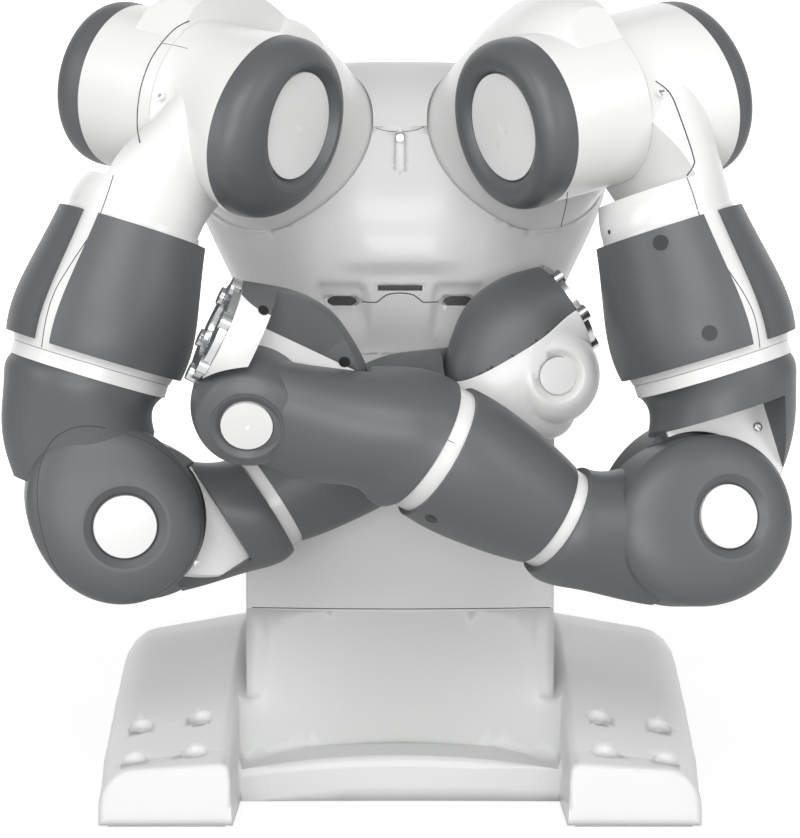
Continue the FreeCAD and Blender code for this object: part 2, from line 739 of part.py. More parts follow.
def base_parts():
    blank = base_blank()
    core = column_block(skirt_lift, base_height)
    body = blank.fuse(core)
    body = body.cut(bay_tool())
    bay_keep = foot_inner + plate_inset
    bay_floor = box(plinth_front - plate_inset, base_front + 1, -bay_keep, bay_keep, -1, floor_plate + 1)
    body = body.cut(base_plan(plate_inset - seat_gap, -1, floor_plate).cut(bay_floor))
    holes = foot_bolts(foot_bolt_radius, -1, FAR)
    dimples = []
    for side in (-1, 1):
        for x in foot_bolt_x:
            for y in foot_bolt_y:
                z = foot_top(x) - foot_dimple_depth
                dimples.append(drum(foot_dimple_radius, z, z + 30, x, side * y))
    body = body.cut(holes + dimples)
    pocket = box(-base_rear - 1, -base_rear + 6, -panel_half_width, panel_half_width, panel_low, panel_high)
    body = body.cut(pocket)
    panel = box(-base_rear + 1, -base_rear + 6, -panel_half_width + seat_gap, panel_half_width - seat_gap,
                panel_low + seat_gap, panel_high - seat_gap)
    sockets = []
    front = Vector(-base_rear, 0, panel_high - 26)
    for k in range(-2, 3):
        centre = front + Y * (k * panel_round_pitch)
        sockets.append(rod(panel_round, centre, centre + X * 4))
    for k in range(-1, 3):
        y = (k - 0.5) * panel_socket_pitch
        half = panel_socket / 2
        sockets.append(box(-base_rear, -base_rear + 4, y - half, y + half, panel_low + 8, panel_low + 22))
    panel = panel.cut(sockets)
    plate = base_plan(plate_inset, 0, floor_plate).cut(bay_floor)
    plate = plate.cut(holes)
    return {
        "base_housing": one(body),
        "base_plate": one(plate),
        "connector_panel": one(panel),
    }


def column_block(z0, z1):
    """Upright with flat sides, a bowed front and rounded rear corners."""
    side = column_half_width
    front = column_front - column_bow
    arc = Part.Arc(Vector(front, -side, z0), Vector(column_front, 0, z0), Vector(front, side, z0)).toShape()
    wire = Part.Wire([
        arc,
        Part.makeLine(Vector(front, side, z0), Vector(-column_rear, side, z0)),
        Part.makeLine(Vector(-column_rear, side, z0), Vector(-column_rear, -side, z0)),
        Part.makeLine(Vector(-column_rear, -side, z0), Vector(front, -side, z0))])
    block = Part.Face(wire).extrude(Z * (z1 - z0))
    uprights = [e for e in block.Edges if e.BoundBox.ZLength > (z1 - z0) * 0.9]
    block = block.makeFillet(column_corner, [e for e in uprights if e.CenterOfMass.x < 0])
    front = [e for e in block.Edges if e.BoundBox.ZLength > (z1 - z0) * 0.9 and e.CenterOfMass.x > front - 5]
    return block.makeFillet(column_nose, front)


def torso_blank():
    """Egg-shaped torso lofted through level sections."""
    levels = (
        (column_top, 80, -118, 100), (300, 86, -121, 102.5), (318, 95, -126, 107), (348, 103, -131, 120),
        (378, 104, -133, 133.5), (400, 98, -132, 139.5), (425, 87, -124, 137), (448, 71, -106, 124),
        (466, 48, -80, 97), (torso_top, 18, -45, 58))
    wires = []
    for z, front, back, half in levels:
        centre = Vector((front + back) / 2, 0, z)
        wires.append(oval(centre, (front - back) / 2, half, X, Y, 2.6, 32))
    return loft(wires)


def shoulder_tool(side, radius, start, end):
    """Cylinder about an arm's first axis."""
    frame = shoulder_frame(side)
    return rod(radius, frame.multVec(Z * start), frame.multVec(Z * end))


def flat_oval(x0, x1, side, z):
    """Opening along x with round ends, centred at side and height z."""
    reach = vent_half_width - vent_radius
    middle = box(x0, x1, side - reach, side + reach, z - vent_radius, z + vent_radius)
    ends = [rod(vent_radius, Vector(x0, side + k * reach, z), Vector(x1, side + k * reach, z)) for k in (-1, 1)]
    return middle.fuse(ends)


def torso_parts():
    body = torso_blank()
    for side in (-1, 1):
        body = body.fuse(shoulder_tool(side, shoulder_radius + 1.2, -60, shoulder_stand))
    for side in (-1, 1):
        body = body.cut(shoulder_tool(side, shoulder_radius + 1.2, shoulder_stand, 90))
        body = body.cut(shoulder_tool(side, bearing_radius, shoulder_stand - bearing_width, 90))
        body = body.cut(shoulder_tool(side, shoulder_pin_radius + running_gap, shoulder_stand - 14, 90))
    ahead = column_front + 50
    slot = box(slot_floor, ahead, -slot_half_width, slot_half_width, slot_height - slot_tall / 2,
               slot_height + slot_tall / 2)
    groove = box(groove_floor, ahead, -groove_half, groove_half, groove_low, groove_high)
    groove = groove.makeFillet(groove_half - 0.1, [e for e in groove.Edges if e.BoundBox.XLength > 40])
    body = body.cut([slot, groove])
    body = body.cut([flat_oval(vent_floor, ahead, side * vent_side, vent_height) for side in (-1, 1)])
    top = body.common(box(torso_back_split, FAR, -FAR, FAR, torso_split, FAR))
    back = body.common(box(-FAR, torso_back_split, -FAR, FAR, 0, FAR))
    chest = body.common(box(torso_back_split, FAR, -FAR, FAR, 0, torso_split))
    lid = slot_half_width - seat_gap
    rise = slot_tall / 2 - seat_gap
    insert = box(slot_floor, slot_floor + slot_insert_deep, -lid, lid, slot_height - rise, slot_height + rise)
    rings = []
    for side in (-1, 1):
        outer = shoulder_tool(side, bearing_radius, shoulder_stand - bearing_width, shoulder_stand)
        bore = shoulder_tool(side, shoulder_pin_radius + running_gap, shoulder_stand - 20, shoulder_stand + 1)
        rings.append(outer.cut(bore))
    return {
        "column_shell": column_block(base_height, column_top),
        "chest_shell": one(chest),
        "top_cover": one(top),
        "back_cover": one(back),
        "slot_insert": insert,
        "shoulder_bearings": Part.makeCompound(rings),
        "chest_screw": screw(Vector(groove_floor, 0, groove_high - groove_half), X, screw_radius, 2.0),
    }


# Assembly

def arm_parts(side_name, side, pose):
    """All pieces of one arm in the robot's frame, named by side."""
    frames = arm_frames(side, pose)
    bent = frames[3] * turn("z", -pose[3])
    parts = {}
    for pieces, frame in (
            (shoulder_link(), frames[1] * turn("z", -pose[1])),
            (upper_arm_link(), frames[1]),
            (elbow_link(), bent),
            (forearm_link(), frames[3]),
            (wrist_link(), frames[5] * turn("z", -pose[5])),
            (hand_link(), frames[5]),
            (tool_flange(), frames[6])):
        for name, shape in pieces.items():
            parts[side_name + "_" + name] = moved(shape, frame)
    return parts


def main():
    os.makedirs("parts", exist_ok=True)
    parts = base_parts()
    parts.update(torso_parts())
    parts.update(arm_parts("right", -1, right_pose))
    parts.update(arm_parts("left", 1, left_pose))
    for name, shape in parts.items():
        shape.exportStep("parts/" + name + ".step")


main()
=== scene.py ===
import json
import math

import bmesh
import bpy
from mathutils import Matrix, Vector
from mathutils.bvhtree import BVHTree


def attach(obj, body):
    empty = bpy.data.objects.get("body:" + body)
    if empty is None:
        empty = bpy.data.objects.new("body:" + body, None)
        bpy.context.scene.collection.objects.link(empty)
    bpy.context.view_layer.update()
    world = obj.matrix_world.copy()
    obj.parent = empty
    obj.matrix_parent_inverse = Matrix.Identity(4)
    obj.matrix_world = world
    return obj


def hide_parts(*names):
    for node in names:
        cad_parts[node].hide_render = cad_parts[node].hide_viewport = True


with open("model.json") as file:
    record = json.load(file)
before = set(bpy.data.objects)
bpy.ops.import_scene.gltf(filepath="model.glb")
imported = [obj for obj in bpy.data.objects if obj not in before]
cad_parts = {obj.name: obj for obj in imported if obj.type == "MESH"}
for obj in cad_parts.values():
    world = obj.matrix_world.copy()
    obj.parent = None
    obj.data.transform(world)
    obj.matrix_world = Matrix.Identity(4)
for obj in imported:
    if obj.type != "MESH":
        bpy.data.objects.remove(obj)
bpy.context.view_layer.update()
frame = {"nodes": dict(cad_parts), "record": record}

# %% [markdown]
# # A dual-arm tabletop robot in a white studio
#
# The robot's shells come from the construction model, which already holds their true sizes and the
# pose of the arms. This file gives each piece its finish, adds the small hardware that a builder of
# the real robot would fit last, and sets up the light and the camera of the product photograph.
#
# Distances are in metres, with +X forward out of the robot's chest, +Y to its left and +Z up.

nodes = frame["nodes"]
scene = bpy.context.scene

# %% [markdown]
# ## Colour
#
# Finishes are picked as sRGB hex values, the way a paint chart gives them. Shaders work in linear
# light, so each value is converted once here.


# %%
def linear(hex_colour):
    """sRGB hex such as "#f0f0f0" to a linear RGBA tuple."""
    channels = [int(hex_colour[k:k + 2], 16) / 255 for k in (1, 3, 5)]
    light = [c / 12.92 if c <= 0.04045 else ((c + 0.055) / 1.055) ** 2.4 for c in channels]
    return (*light, 1.0)


# %% [markdown]
# ## Finishes
#
# One helper makes every finish. A cloudy noise in object coordinates moves the roughness a little, and a
# fine one gives the surface its grain: moulded skin for the soft grey pads, a faint orange peel for the
# enamel. The grain is measured in the piece's own metres, so it stays at the same size on a ring and on the
# chest.

# %%
CLOUDS_PER_METRE = 18.0
ROUGHNESS_SPREAD = 0.04
COAT_ROUGHNESS = 0.08
GRAIN_HEIGHT = 0.0002
REFRACTION = 1.5


def node(tree, kind, **values):
    """Adds a shader node and sets its inputs or settings by name."""
    made = tree.nodes.new(kind)
    for name, value in values.items():
        label = name.replace("_", " ")
        if label in made.inputs:
            made.inputs[label].default_value = value
        else:
            setattr(made, name, value)
    return made


def finish(name, colour, roughness, metallic=0.0, coat=0.0, grain=0.0, grain_size=1.0):
    """Material with a noise-driven roughness and a grain whose bumps are grain_size millimetres wide."""
    material = bpy.data.materials.new(name)
    material.use_nodes = True
    tree = material.node_tree
    shader = tree.nodes["Principled BSDF"]
    shader.inputs["Base Color"].default_value = linear(colour)
    shader.inputs["Metallic"].default_value = metallic
    shader.inputs["IOR"].default_value = REFRACTION
    shader.inputs["Coat Weight"].default_value = coat
    shader.inputs["Coat Roughness"].default_value = COAT_ROUGHNESS
    place = node(tree, "ShaderNodeTexCoord")
    cloud = node(tree, "ShaderNodeTexNoise", Scale=CLOUDS_PER_METRE, Detail=3.0)
    tree.links.new(place.outputs["Object"], cloud.inputs["Vector"])
    spread = node(tree, "ShaderNodeMapRange")
    spread.inputs["To Min"].default_value = roughness - ROUGHNESS_SPREAD
    spread.inputs["To Max"].default_value = roughness + ROUGHNESS_SPREAD
    tree.links.new(cloud.outputs["Fac"], spread.inputs["Value"])
    tree.links.new(spread.outputs["Result"], shader.inputs["Roughness"])
    if grain:
        skin = node(tree, "ShaderNodeTexNoise", Scale=1000.0 / grain_size, Detail=2.0)
        tree.links.new(place.outputs["Object"], skin.inputs["Vector"])
        bump = node(tree, "ShaderNodeBump", Strength=grain, Distance=GRAIN_HEIGHT)
        tree.links.new(skin.outputs["Fac"], bump.inputs["Height"])
        tree.links.new(bump.outputs["Normal"], shader.inputs["Normal"])
    return material


# %% [markdown]
# The torso and the base are sprayed in a gloss two-part enamel, a shade cooler and greyer than the
# moulded covers of the arms. The grey is a soft-touch coating over padding. The tool flanges are turned from
# aluminium.

# %%
FINISHES = {
    # Sprayed enamel: a soft-edged highlight, faintly rippled by orange peel, over a cool pale grey.
    "white_enamel": finish("gloss white enamel", "#d8d9d8", 0.36, coat=0.12, grain=0.04, grain_size=4.0),
    # Moulded covers: lighter and a little glossier, so the arms stand out from the torso.
    "white_shell": finish("gloss white moulding", "#e1e1e0", 0.29, coat=0.2, grain=0.03, grain_size=2.5),
    # Soft-touch coating: a broad, dull highlight on a fine leathery skin.
    "grey_soft": finish("soft-touch grey coating", "#56585a", 0.42, grain=0.14, grain_size=0.7),
    # Turned aluminium: bright, with sharp reflections of the white room.
    "flange_alloy": finish("turned aluminium", "#d4d5d6", 0.22, metallic=1.0),
    # Ground steel: a darker metal than the aluminium, for screws and bearing rings.
    "bearing_steel": finish("ground steel", "#b9babc", 0.28, metallic=1.0),
    # Zinc plating: a dull metal grey, seen only as a thin edge under the base.
    "plate_steel": finish("zinc-plated steel", "#9fa1a4", 0.4, metallic=1.0),
    # Moulded dark panel: a dull charcoal, which also serves the parting lines and, as painted shade, the
    # hollows of the pads' dimples and a small hole.
    "panel_dark": finish("black panel and painted shade", "#242527", 0.5, grain=0.1, grain_size=1.0),
    # Deep black: painted shade that stands for the dark inside of a hole or opening.
    "slot_black": finish("painted hole shade black", "#0b0b0c", 0.4),
}
print("finishes:", ", ".join(FINISHES))

# %% [markdown]
# ## Shells
#
# The construction meshes are shaded smooth, with a crease wherever two faces meet at more than about
# thirty degrees.

# %%
CREASE = math.radians(32.0)


def smooth(mesh):
    """Smooth shading that keeps the true edges sharp."""
    mesh.polygons.foreach_set("use_smooth", [True] * len(mesh.polygons))
    mesh.set_sharp_from_angle(angle=CREASE)
    mesh.update()


slot_of = {entry["node"]: entry["material_slot"] for entry in frame["record"]["subparts"]}
for name, piece in nodes.items():
    piece.data.materials.clear()
    piece.data.materials.append(FINISHES[slot_of[name]])
    smooth(piece.data)

body_of = {}
for body, names in frame["record"]["behaviour"]["bodies"].items():
    for name in names:
        body_of[name] = body

# %% [markdown]
# ## Camera
#
# The photograph was taken from 1.4 m in front of the robot, a little under shoulder height and tipped
# down by about three degrees. Blender fits the 36 mm sensor to the longer side of the picture, which
# is its height.

# %%
LENS = 89.12
SENSOR = 36.0
CAMERA_AT = Vector((1.4, 0.0, 0.3143))
CAMERA_TIP = 0.0541
PICTURE = (800, 838)
lens = bpy.data.cameras.new("product camera")
lens.lens = LENS
lens.sensor_width = SENSOR
camera = bpy.data.objects.new("product camera", lens)
scene.collection.objects.link(camera)
forward = Vector((-math.cos(CAMERA_TIP), 0.0, -math.sin(CAMERA_TIP)))
camera.location = CAMERA_AT
camera.rotation_mode = "QUATERNION"
camera.rotation_quaternion = forward.to_track_quat("-Z", "Y")
scene.camera = camera
print("camera at", tuple(camera.location), "looking along", tuple(forward))

# %% [markdown]
# ## Sighting
#
# A screw or a seam that the photograph shows is put where the camera's line through that point of the
# picture meets the shell, so it sits on what carries it and looks right from any side. A search tree
# over the shell's triangles finds the meeting point and the outward direction there.

# %%
TREES = {}
SURFACES = {name: [shell] for name, shell in nodes.items()}


def meet(names, start, along):
    """First place where a line meets the named shells: the point, its outward normal and the shell's name."""
    best = None
    for name in names:
        if name not in TREES:
            points, corners = [], []
            for shell in SURFACES[name]:
                corners += [[len(points) + k for k in face.vertices] for face in shell.data.polygons]
                points += [vertex.co for vertex in shell.data.vertices]
            TREES[name] = BVHTree.FromPolygons(points, corners)
        point, normal, _, far = TREES[name].ray_cast(start, along)
        if point is not None and (best is None or far < best[3]):
            best = (point, normal if normal.dot(along) < 0 else -normal, name, far)
    return best


def view_line(spot):
    """Direction from the camera through a picture point."""
    step = SENSOR / LENS / max(PICTURE)
    side = (spot[0] - PICTURE[0] / 2) * step
    drop = (spot[1] - PICTURE[1] / 2) * step
    right = Vector((0.0, 1.0, 0.0))
    return (forward + right * side - right.cross(forward) * drop).normalized()


def sight(spot, *names):
    """Where the camera's line through a picture point meets the named shells."""
    return meet(names, CAMERA_AT, view_line(spot))


# %% [markdown]
# ## Small pieces
#
# Each small piece is one object with its place in its mesh. It rides on the body of the shell that
# carries it and takes its finish from one of the part's material slots.


# %%
def piece_from(build, name, carrier, slot):
    """Turns a bmesh into a finished piece that rides with its carrier shell."""
    mesh = bpy.data.meshes.new(name)
    build.to_mesh(mesh)
    build.free()
    piece = bpy.data.objects.new(name, mesh)
    scene.collection.objects.link(piece)
    mesh.materials.append(FINISHES[slot])
    smooth(mesh)
    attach(piece, body_of[carrier])
    return piece


def upright(point, normal):
    """Placement that lifts a shape from the XY plane onto a surface point, its +Z along the normal."""
    return Matrix.Translation(point) @ normal.to_track_quat("Z", "Y").to_matrix().to_4x4()


# %% [markdown]
# ## Reshaped shells
#
# A few large shells need a softer form than the construction model gives them. A copy of such a shell is
# divided by planes across its length, width and height, which gives it points to move where it has only long
# triangles, and then each point is moved by a smooth rule. The copy takes the shell's place, and the seams
# are sighted onto it.


# %%
def blend(a, b, t):
    """Soft step from 0 at a to 1 at b."""
    t = min(max((t - a) / (b - a), 0.0), 1.0)
    return t * t * (3.0 - 2.0 * t)


def along_table(table, place):
    """Value at a place in a short table of (place, value) pairs, straight between them."""
    for (x0, v0), (x1, v1) in zip(table, table[1:]):
        if place <= x1:
            return v0 + (v1 - v0) * max(place - x0, 0.0) / (x1 - x0)
    return table[-1][1]


def divide(build, axis, places, keep=lambda face: True):
    """Cuts new edges across the kept faces where they cross planes at right angles to an axis."""
    along = Vector([1.0 if k == axis else 0.0 for k in range(3)])
    for place in places:
        faces = [face for face in build.faces if keep(face)]
        geom = list({v for f in faces for v in f.verts}) + list({e for f in faces for e in f.edges}) + faces
        bmesh.ops.bisect_plane(build, geom=geom, plane_co=along * place, plane_no=along)


def merged_copy(name):
    """A shell's mesh as a bmesh whose loose triangles are joined."""
    build = bmesh.new()
    build.from_mesh(nodes[name].data)
    bmesh.ops.remove_doubles(build, verts=build.verts, dist=1e-6)
    return build


def take_place(build, name, slot=None, label="shell"):
    """Puts a reshaped copy, without the slivers that cutting leaves, in the place of its shell."""
    bmesh.ops.dissolve_degenerate(build, dist=5e-5, edges=build.edges[:])
    bmesh.ops.triangulate(build, faces=build.faces[:])
    piece = piece_from(build, name + "_" + label, name, slot or slot_of[name])
    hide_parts(name)
    SURFACES[name] = [shell for shell in SURFACES[name] if shell is not nodes[name]] + [piece]
    return piece


# %% [markdown]
# ### Base
#
# The roof of the base falls outwards and, behind the column, towards the rear, with a raised housing for the
# electronics along the middle. The step between the feet is a little higher in the middle than at its ends.
# Each point is lifted or lowered in proportion to its height, so the walls stay upright. The roof's height
# along the middle, as built and as wanted, and its fall outwards are short tables of (x, value).

# %%
ROOF_OLD = [(-0.332, 0.116), (-0.19, 0.117), (-0.118, 0.116), (-0.07, 0.107), (-0.02, 0.092), (0.04, 0.070),
            (0.10, 0.049), (0.165, 0.033)]
ROOF_NEW = [(-0.332, 0.056), (-0.19, 0.077), (-0.118, 0.088), (-0.07, 0.0975), (-0.045, 0.1005),
            (-0.02, 0.098), (0.04, 0.080), (0.10, 0.058), (0.138, 0.0425), (0.165, 0.038)]
ROOF_FALL = [(-0.332, 0.10), (-0.05, 0.174), (0.10, 0.145), (0.138, 0.12), (0.165, 0.045)]
FALL_FROM = 0.105
REAR, COLUMN_BACK = -0.332, -0.118

# Half the width of the raised housing, where the slope beside it ends, and how far both spread at the rear.
HOUSING_HALF, HOUSING_SPREAD = 0.1002, 0.012
SLOPE_FOOT, SLOPE_SPREAD = 0.109, 0.017

# The step between the feet: where it starts, its height, and how much its top rises and drops.
STEP_BACK, STEP_HALF = 0.058, 0.1005
STEP_TOP, STEP_FADE = 0.027, 0.033
ARCH_RISE, ARCH_DROP, ARCH_HALF = 0.003, 0.009, 0.1

# Where the copy is divided.
LENGTH_CUTS = [-0.325 + 0.015 * k for k in range(33)]
WIDTH_CUTS = [0.001 * mm for mm in (0.01, 20, 40, 60, 80, 100.1, 102, 105, 108, 111, 114, 118, 122,
                                    126, 132, 142, 152, 162, 172, 180)]
HEIGHT_CUTS = [0.01, 0.02, 0.04, 0.05]


def base_point(co):
    """Where a point of the base's construction shell goes on the real base."""
    x, y, z = co
    side = abs(y)
    if x > STEP_BACK and side < STEP_HALF:
        rise = ARCH_RISE - ARCH_DROP * (side / ARCH_HALF) ** 2
        share = z / STEP_TOP if z < STEP_TOP else max(0.0, (STEP_TOP + STEP_FADE - z) / STEP_FADE)
        return Vector((x, y, z + rise * share))
    roof = along_table(ROOF_NEW, x) - along_table(ROOF_FALL, x) * max(side - FALL_FROM, 0.0)
    ratio = roof / along_table(ROOF_OLD, x)
    back = min(max((COLUMN_BACK - x) / (COLUMN_BACK - REAR), 0.0), 1.0)
    share = blend(HOUSING_HALF + HOUSING_SPREAD * back, SLOPE_FOOT + SLOPE_SPREAD * back, side)
    return Vector((x, y, z * (1.0 + (ratio - 1.0) * share)))


build = merged_copy("base_housing")
divide(build, 0, LENGTH_CUTS)
for way in (-1, 1):
    divide(build, 1, [way * cut for cut in WIDTH_CUTS])
divide(build, 2, HEIGHT_CUTS)
for vert in build.verts:
    vert.co = base_point(vert.co)
base = take_place(build, "base_housing")
print("base:", len(base.data.polygons), "triangles")

# %% [markdown]
# ### Chest
#
# Over the slot the chest swells into a rounded chin with a firm lower lip, and the two lined openings
# under it sit just below the slot. Each blend below runs from its first value to its second, in metres
# from the middle or above the table.

# %%
CHIN_SWELL = 0.005
CHIN_SIDE, CHIN_LIP, CHIN_FADE = (0.016, 0.05), (0.3325, 0.344), (0.345, 0.4)
OPENING_LIFT = 0.009
OPENING_INNER, OPENING_OUTER = (0.018, 0.024), (0.05, 0.058)
OPENING_FOOT, OPENING_FADE = (0.292, 0.304), (0.314, 0.334)
CHEST_FRONT, CHIN_REACH = 0.03, 0.07

# The part of the chest that is divided, and where.
CUT_BACK, CUT_HALF, CUT_LOW, CUT_HIGH = 0.02, 0.075, 0.28, 0.42
CHIN_WIDTH_CUTS = [-0.058 + 0.004 * k for k in range(30)]
CHIN_HEIGHT_CUTS = [0.29 + 0.004 * k for k in range(33)]


def chest_point(co):
    """Where a point of the chest's construction shell goes on the real chest."""
    x, y, z = co
    side = abs(y)
    if x > CHEST_FRONT and side < CHIN_REACH:
        swell = (1.0 - blend(*CHIN_SIDE, side)) * blend(*CHIN_LIP, z) * (1.0 - blend(*CHIN_FADE, z))
        lift = blend(*OPENING_INNER, side) * (1.0 - blend(*OPENING_OUTER, side))
        lift *= blend(*OPENING_FOOT, z) * (1.0 - blend(*OPENING_FADE, z))
        return Vector((x + CHIN_SWELL * swell, y, z + OPENING_LIFT * lift))
    return co


def near_chin(face):
    """True for the chest's faces at and around the chin."""
    centre = face.calc_center_median()
    return centre.x > CUT_BACK and abs(centre.y) < CUT_HALF and CUT_LOW < centre.z < CUT_HIGH


build = merged_copy("chest_shell")
divide(build, 1, CHIN_WIDTH_CUTS, near_chin)
divide(build, 2, CHIN_HEIGHT_CUTS, near_chin)
for vert in build.verts:
    vert.co = chest_point(vert.co)
chest = take_place(build, "chest_shell")
print("chest:", len(chest.data.polygons), "triangles")

# %% [markdown]
# ### Hands
#
# The left hand's housing is parted lengthwise in the photograph: the padded grey cover takes one side and a
# white shell the other. The parting plane is sighted there once. It is carried to the right hand by the two
# joints that both hands have, the wrist's and the flange's, as a guess: of that hand the photograph shows
# only grey.

# %%
PARTING_START, PARTING_END = (233.3, 313.3), (337.0, 362.0)
JOINTS = {entry["name"]: entry for entry in frame["record"]["behaviour"]["joints"]}


def hand_frame(side):
    """Axes and origin of a hand, from its wrist and flange joints."""
    turn, bend = JOINTS[side + "_flange_turn"], JOINTS[side + "_wrist_bend"]
    along, across = Vector(turn["axis"]).normalized(), Vector(bend["axis"]).normalized()
    place = Matrix((across.cross(along), across, along)).transposed().to_4x4()
    place.translation = Vector(turn["pos_m"])
    return place


def parted_hand(side, point, normal):
    """Splits a hand's cover along a plane into its grey and its white half."""
    name = side + "_hand_cover"
    for slot, label, way in (("grey_soft", "pad", 1.0), ("white_shell", "shell", -1.0)):
        build = merged_copy(name)
        geom = build.verts[:] + build.edges[:] + build.faces[:]
        cut = bmesh.ops.bisect_plane(build, geom=geom, plane_co=point, plane_no=normal * way,
                                     clear_inner=True)
        bmesh.ops.holes_fill(build, edges=[e for e in cut["geom_cut"] if isinstance(e, bmesh.types.BMEdge)])
        take_place(build, name, slot, label)


parting = view_line(PARTING_START).cross(view_line(PARTING_END)).normalized()
if parting.z < 0:
    parting.negate()
carry = hand_frame("right") @ hand_frame("left").inverted()
parted_hand("left", CAMERA_AT, parting)
parted_hand("right", carry @ CAMERA_AT, (carry.to_3x3() @ parting).normalized())
for side in ("left", "right"):
    print(side, "hand:", [half.name for half in SURFACES[side + "_hand_cover"]])

# %% [markdown]
# ## Seams
#
# Covers that are moulded in halves meet in a thin, dark parting line. It is a fine cord of shadow, more than
# half sunk in the surface: a smooth line is drawn through a few picture points, sighted onto the shell
# point by point, and given a round section of a few tenths of a millimetre.

# %%
SEAM_SINK = 0.18
SEAM_STEPS = 10


def through(points):
    """Smooth run of picture points that passes through the given ones."""
    run = []
    for k in range(len(points) - 1):
        before, after = points[max(k - 1, 0)], points[min(k + 2, len(points) - 1)]
        a, b = points[k], points[k + 1]
        for i in range(SEAM_STEPS):
            t = i / SEAM_STEPS
            run.append(tuple(0.5 * (2 * a[j] + (b[j] - before[j]) * t
                                    + (2 * before[j] - 5 * a[j] + 4 * b[j] - after[j]) * t * t
                                    + (3 * a[j] - before[j] - 3 * b[j] + after[j]) * t ** 3) for j in (0, 1)))
    return run + [points[-1]]


def seam(name, shells, width, points):
    """Dark parting line on the shells along a run of picture points."""
    found = [hit for hit in (sight(spot, *shells) for spot in through(points)) if hit]
    data = bpy.data.curves.new(name, "CURVE")
    data.dimensions = "3D"
    data.bevel_depth = width / 2
    data.bevel_resolution = 2
    data.use_fill_caps = True
    line = data.splines.new("POLY")
    line.points.add(len(found) - 1)
    for spot, hit in zip(line.points, found):
        spot.co = (*(hit[0] - hit[1] * width * SEAM_SINK), 1.0)
    piece = bpy.data.objects.new(name, data)
    scene.collection.objects.link(piece)
    data.materials.append(FINISHES["panel_dark"])
    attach(piece, body_of[found[0][2]])
    return piece


# %% [markdown]
# ### Torso
#
# The chest shell meets the neck cover just above the notch that a hook hangs in, and a faint arch under the
# slot marks where the lower cover starts. A line across the front of the column marks the top of its foot.
# Each entry below gives the shells that the line may lie on, its width in metres and its run in the picture.

# %%
NECK = ["chest_shell", "top_cover"]
TORSO_SEAMS = {
    "neck_line_left": (NECK, 0.0005, [(402, 131.9), (413, 130.6), (419, 129.0), (424, 126.6)]),
    "neck_line_right": (NECK, 0.0005, [(376, 127.8), (380, 129.5), (388, 131.2), (397, 132.0)]),
    "cover_arch": (["chest_shell"], 0.0008, [
        (362, 301.8), (371, 302.2), (377, 302.0), (381, 299.0), (388, 294.5), (400, 293.0), (412, 294.5),
        (419, 299.0), (423, 302.0), (429, 302.2), (438, 301.8)]),
    "column_line": (["column_shell", "base_housing"], 0.0007, [
        (252, 607.5), (300, 608.3), (350, 608.8), (400, 609.0), (450, 608.8), (500, 608.3), (550, 607.5)]),
}
for name, entry in TORSO_SEAMS.items():
    seam(name, *entry)
print("torso seams:", ", ".join(TORSO_SEAMS))

# %% [markdown]
# ### Arms
#
# The white shells of each upper arm are moulded in two halves. Their parting line runs down the neck and
# between the grey pads to the swivel ring. The round drum above it has its own line, where its cover slides
# on, and the white bands of the forearm are split once. A fine line follows the teardrop cap of each elbow.

# %%
LEFT_ARM = ["left_upper_arm_shell", "left_arm_cover_plate", "left_shoulder_housing"]
RIGHT_ARM = ["right_upper_arm_shell", "right_arm_cover_plate", "right_shoulder_housing"]
LEFT_ELBOW = ["left_elbow_housing", "left_elbow_cap", "left_elbow_panel"]
RIGHT_ELBOW = ["right_elbow_housing", "right_elbow_cap", "right_elbow_panel"]
ARM_SEAMS = {
    "left_arm_line": (LEFT_ARM, 0.0007, [
        (687, 177.6), (693, 194), (699.5, 215.6), (704, 228), (721, 259), (745, 295.5), (756, 322),
        (761.5, 361)]),
    "left_plate_line": (LEFT_ARM, 0.0009, [
        (655.5, 81), (670, 93.3), (680.8, 118.7), (693, 155), (693.7, 165), (687, 175.5)]),
    "left_drum_line": (["left_shoulder_housing"], 0.0007, [(567.5, 192), (566, 205), (561, 226.5)]),
    "right_arm_line": (RIGHT_ARM, 0.0007, [
        (113.4, 175), (109.2, 189), (101.3, 211), (93.2, 230), (71.5, 263), (55, 291), (46, 319),
        (40.4, 356)]),
    "right_drum_line": (RIGHT_ARM, 0.0009, [
        (189, 21), (176, 28), (163.3, 41), (150.6, 60), (141.7, 84), (137.8, 107), (137.3, 127.5),
        (140, 143)]),
    "right_drum_tick": (RIGHT_ARM, 0.0004, [(162, 43), (175, 45.5), (187.6, 48.5)]),
    "forearm_band_line": (["left_forearm_rings"], 0.0004, [(442.6, 437.4), (448, 440.2), (454.2, 443.2)]),
    "left_ring_tick": (["left_swivel_ring", "left_upper_arm_shell"], 0.0004, [
        (737.7, 370.8), (738.8, 373.5), (739.7, 376)]),
    "right_elbow_line": (RIGHT_ELBOW, 0.0005, [
        (106, 428), (88, 426), (71, 428.6), (55, 438), (44, 454), (39, 472), (37, 493), (39, 517), (44, 540),
        (52, 562), (67, 584), (82, 595)]),
    "right_elbow_line_inner": (RIGHT_ELBOW, 0.0005, [
        (126.5, 433.7), (147, 442), (163, 452), (180, 466), (192, 483), (201, 505), (202, 525), (197, 550),
        (182, 574), (163, 591), (143, 602)]),
    "left_elbow_line": (LEFT_ELBOW, 0.0005, [
        (694.7, 438), (679, 446), (664, 458), (649, 475), (633.5, 496), (624, 515), (620.5, 533), (621, 548),
        (626, 562), (635, 574), (649, 587), (667, 596), (692, 601)]),
}
for name, entry in ARM_SEAMS.items():
    seam(name, *entry)
print("arm seams:", ", ".join(ARM_SEAMS))

# %% [markdown]
# ## Screws
#
# The covers are held by small button-head screws with a hexagon socket. A screw head is a short disc with
# its edge rounded and its socket pushed in. Each entry gives the shells, the picture point and the radius.

# %%
HEAD_HEIGHT = 0.0012
SOCKET_DEPTH = 0.0009


